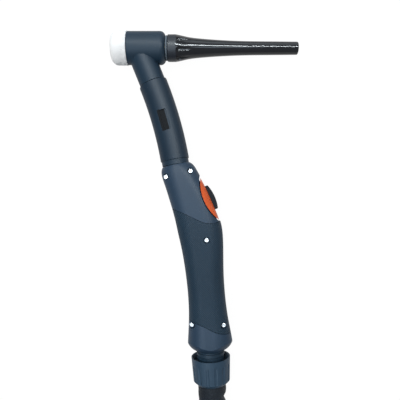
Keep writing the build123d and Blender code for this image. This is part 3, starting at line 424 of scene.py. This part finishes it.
finish_of_node = {
    "head_moulding": "head",
    "nozzle_insulator": "insulator",
    "back_cap": "cap",
    "neck_sleeve": "sleeve",
    "neck_collar": "collar",
    "handle_shell_upper": "shell",
    "handle_shell_lower": "shell",
    "grip_pad_upper": "pad",
    "grip_pad_lower": "pad",
    "trigger_bezel": "orange",
    "trigger_button": "button",
    "ball_spigot": "spigot",
    "cable_nut": "nut",
    "clamp_ring": "spigot",
    "cap_o_ring": "seal_painted_highlight",
    "pin_o_ring": "seal",
    "plug_boot": "seal",
    "plug_body": "plug",
    "collar_nut": "plug",
    "coil_ties": "strap",
    "handle_screws": "screw",
    "trigger_pin": "screw",
    "microswitch": "switch",
    "switch_plunger": "switch",
    "switch_carrier": "switch",
    "power_hose": "hose",
    "lead_splitter": "hose",
    "lead_bundle": "hose",
    "control_lead": "hose",
    "cable_core": "hose",
}
for node_name, node in nodes.items():
    finish = finishes[finish_of_node.get(node_name, "brass")]
    node.data.materials.clear()
    node.data.materials.append(finish)


# ==== Cable ======================================================================
def coil_section(angle):
    """Radius and height of the cable's middle at an angle, in degrees since the coil's start.

    Each step of the winding is a smooth 3t^2 - 2t^3 over step_width degrees from where it begins.
    """
    radius = np.full_like(angle, outer_turn)
    height = np.full_like(angle, low_layer)
    last_radius, last_height = outer_turn, low_layer
    for begin, next_radius, next_height in coil_steps:
        share = np.clip((angle - begin) / step_width, 0, 1)
        share = share * share * (3 - 2 * share)
        radius += share * (next_radius - last_radius)
        height += share * (next_height - last_height)
        last_radius, last_height = next_radius, next_height
    return radius, height


def coil_points():
    """The turns' middle line: clockwise round the coil's centre, at the section's radius and height."""
    angle = np.linspace(0, tail_end_angle, round(points_per_turn * tail_end_angle / 360))
    radius, height = coil_section(angle)
    height += plug_rise * np.clip((angle - tail_end_angle + plug_rise_width) / plug_rise_width, 0, 1)
    turned = np.radians(angle)
    x = coil_centre[0] + radius * np.cos(turned)
    y = coil_centre[1] - radius * np.sin(turned)
    return np.stack([x, y, height], axis=1)


def cable_route():
    """The cable's middle as one smooth open spline, read back as points along it."""
    turns = coil_points()
    plug_way = np.array([-math.sin(plug_angle), -math.cos(plug_angle), 0.0])
    tail_end = turns[-1] + tail_last_run * plug_way
    points = np.vstack([jacket_start, jacket_corner, lead_route, turns, tail_end])
    curve = bpy.data.curves.new("cable_route", "CURVE")
    curve.dimensions = "3D"
    spline = curve.splines.new("NURBS")
    spline.points.add(len(points) - 1)
    spline.points.foreach_set("co", np.column_stack([points, np.ones(len(points))]).ravel())
    spline.order_u = 3
    spline.use_endpoint_u = True
    spline.resolution_u = 8
    holder = bpy.data.objects.new("cable_route", curve)
    bpy.context.collection.objects.link(holder)
    drawn = bpy.data.meshes.new_from_object(holder)
    line = np.empty(3 * len(drawn.vertices))
    drawn.vertices.foreach_get("co", line)
    bpy.data.objects.remove(holder)
    bpy.data.meshes.remove(drawn)
    return line.reshape(-1, 3)


def even_line(line, step):
    """The same line with points an even step apart along its length."""
    length = np.concatenate([[0.0], np.cumsum(np.linalg.norm(np.diff(line, axis=0), axis=1))])
    places = np.linspace(0, length[-1], round(length[-1] / step) + 1)
    return np.stack([np.interp(places, length, line[:, k]) for k in range(3)], axis=1), places


def grid_mesh(name, points, uv):
    """A mesh from points[along, round, 3], closed round, with its UV map and a pole at each end."""
    rows, columns = points.shape[:2]
    corners = np.arange(rows * columns).reshape(rows, columns)
    near = corners[:-1]
    far = corners[1:]
    quads = np.stack([near, np.roll(near, -1, 1), np.roll(far, -1, 1), far], axis=-1).reshape(-1, 4)
    vertices = np.vstack([points.reshape(-1, 3), points[0].mean(axis=0), points[-1].mean(axis=0)])
    faces = quads.tolist()
    first, last = rows * columns, rows * columns + 1
    faces += [[first, b, a] for a, b in zip(corners[0], np.roll(corners[0], -1))]
    faces += [[last, a, b] for a, b in zip(corners[-1], np.roll(corners[-1], -1))]
    mesh = bpy.data.meshes.new(name)
    mesh.from_pydata(vertices.tolist(), [], faces)
    layer = mesh.uv_layers.new(name="along_cable")
    across, along = uv
    u = np.concatenate([np.tile(across, rows), [0.0, 0.0]])
    v = np.concatenate([np.repeat(along, columns), [along[0], along[-1]]])
    loops = np.empty(len(mesh.loops), dtype=np.int32)
    mesh.loops.foreach_get("vertex_index", loops)
    layer.data.foreach_set("uv", np.column_stack([u[loops], v[loops]]).ravel())
    mesh.polygons.foreach_set("use_smooth", [True] * len(mesh.polygons))
    piece = bpy.data.objects.new(name, mesh)
    bpy.context.collection.objects.link(piece)
    return piece


def jacket_folds(places, turn):
    """How far the jacket falls in from its round form, at a length along it and an angle round it.

    Slanting folds are the sum of sines of length and angle with uneven periods; they are deepest
    near the nut and fade to a shallow waviness. One sharp pinch sits on the side away from the coil,
    a bell curve along the jacket times a raised cosine round it.
    """
    s = places[:, None]
    wave = np.sin(420 * s + 2 * turn) + 0.7 * np.sin(690 * s - 3 * turn + 1.3)
    wave += 0.6 * np.sin(260 * s + turn + 0.4)
    wave += 0.5 * np.sin(1130 * s + 5 * turn + 2.1)
    near_nut = np.exp(-s / 0.05)
    pinch = np.exp(-(((s - 0.022) / 0.0028) ** 2)) * (0.5 - 0.5 * np.cos(turn)) ** 3
    return (0.00012 + 0.00036 * near_nut) * (wave / 2.8 - 1 + 2.2 * near_nut) - 0.0028 * pinch


def build_cable():
    """A tube round the route: side and up vectors square to it carry a circle that the folds draw in."""
    line, places = even_line(cable_route(), 0.003)
    along = np.gradient(line, axis=0)
    along /= np.linalg.norm(along, axis=1, keepdims=True)
    side = np.cross(along, [0.0, 0.0, 1.0])
    side /= np.linalg.norm(side, axis=1, keepdims=True)
    up = np.cross(side, along)
    columns = 32
    turn = np.linspace(0, 2 * np.pi, columns, endpoint=False)[None, :]
    radius = cable_radius + jacket_folds(places, turn)
    spoke = np.cos(turn)[..., None] * side[:, None] + np.sin(turn)[..., None] * up[:, None]
    points = line[:, None] + radius[..., None] * spoke
    piece = grid_mesh("cable_jacket", points, (turn[0] * cable_radius, places))
    return piece, line


cable, cable_line = build_cable()
cable.data.materials.append(jacket_finish())
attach(cable, "knuckle")
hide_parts("cable_lead", "cable_coil", "cable_tail")


# ==== Studio =====================================================================
def build_floor():
    """A wide floor, white to the camera and in reflections, that keeps a soft shadow."""
    half = 6.0
    mesh = bpy.data.meshes.new("studio_floor")
    corners = [(-half, -half), (half, -half), (half, half), (-half, half)]
    mesh.from_pydata([(x, y, floor_z) for x, y in corners], [], [(0, 1, 2, 3)])
    floor = bpy.data.objects.new("studio_floor", mesh)
    bpy.context.collection.objects.link(floor)
    material, tree, shader = new_material("studio_white")
    shader.inputs["Roughness"].default_value = 0.9
    shader.inputs["Specular IOR Level"].default_value = 0.1
    rays = tree.nodes.new("ShaderNodeLightPath")
    seen = math_node(tree, "ADD", rays.outputs["Is Camera Ray"], rays.outputs["Is Glossy Ray"], clamp=True)
    seen = math_node(tree, "ADD", seen, rays.outputs["Is Transmission Ray"], clamp=True)
    pale, dim = (0.5, 0.5, 0.5, 1.0), (0.30, 0.30, 0.30, 1.0)
    tree.links.new(mix_colour(tree, rays.outputs["Is Diffuse Ray"], pale, dim), shader.inputs["Base Color"])
    glow = tree.nodes.new("ShaderNodeEmission")
    blend = tree.nodes.new("ShaderNodeMixShader")
    tree.links.new(math_node(tree, "MULTIPLY", seen, 0.9), blend.inputs["Fac"])
    tree.links.new(shader.outputs["BSDF"], blend.inputs[1])
    tree.links.new(glow.outputs["Emission"], blend.inputs[2])
    tree.links.new(blend.outputs["Shader"], tree.nodes["Material Output"].inputs["Surface"])
    glow.inputs["Strength"].default_value = 1.08
    mesh.materials.append(material)


def build_world():
    """Faint cool light from all round, white where the camera sees it."""
    world = bpy.data.worlds.new("studio_world")
    bpy.context.scene.world = world
    world.use_nodes = True
    tree = world.node_tree
    back = tree.nodes["Background"]
    rays = tree.nodes.new("ShaderNodeLightPath")
    seen = rays.outputs["Is Camera Ray"]
    tree.links.new(mix_colour(tree, seen, (0.90, 0.95, 1.0, 1.0), (1.0, 1.0, 1.0, 1.0)), back.inputs["Color"])
    tree.links.new(spread(tree, seen, 0.45, 1.0), back.inputs["Strength"])


def add_lamp(name, place, target, size, watts, colour, diffuse=True, glossy=True):
    """A rectangular lamp at a place, turned to face a target."""
    lamp = bpy.data.lights.new(name, "AREA")
    lamp.shape = "RECTANGLE"
    lamp.size, lamp.size_y = size
    lamp.energy = watts
    lamp.color = colour
    holder = bpy.data.objects.new(name, lamp)
    holder.location = place
    way = np.array(target) - np.array(place)
    flat = math.hypot(way[0], way[1])
    holder.rotation_euler = (math.atan2(flat, -way[2]), 0.0, math.atan2(way[1], way[0]) - math.pi / 2)
    holder.visible_diffuse = diffuse
    holder.visible_glossy = glossy
    bpy.context.collection.objects.link(holder)


def add_camera():
    """A camera above the torch, looking straight down with the head at the top of the frame."""
    height = 0.370
    half_view = 0.176
    camera = bpy.data.cameras.new("camera")
    camera.sensor_width = 36.0
    camera.lens = camera.sensor_width / 2 * height / half_view
    camera.clip_start = 0.01
    holder = bpy.data.objects.new("camera", camera)
    holder.location = (0.0654, -0.1335, height)
    bpy.context.collection.objects.link(holder)
    bpy.context.scene.camera = holder


build_floor()
build_world()
add_lamp(
    "key_lamp",
    place=(-0.35, 0.0, 1.15),
    target=(0.06, -0.12, 0.0),
    size=(0.5, 0.5),
    watts=8.8,
    colour=(1.0, 0.99, 0.98),
    glossy=False,
)
add_lamp(
    "sheen_lamp",
    place=(-0.115, -0.33, 0.75),
    target=(0.0, -0.20, 0.0),
    size=(0.22, 0.9),
    watts=5.0,
    colour=(0.75, 0.88, 1.0),
    diffuse=False,
)
add_lamp(
    "strip_lamp",
    place=(0.16, 0.16, 0.55),
    target=(0.10, 0.0, 0.0),
    size=(0.8, 0.022),
    watts=8.0,
    colour=(0.88, 0.96, 1.0),
    diffuse=False,
)
add_lamp(
    "sky_lamp",
    place=(0.08, 0.75, 0.45),
    target=(0.08, 0.0, 0.0),
    size=(1.6, 0.5),
    watts=5.0,
    colour=(0.86, 0.95, 1.0),
)
add_camera()
bpy.context.scene.view_settings.view_transform = "Standard"
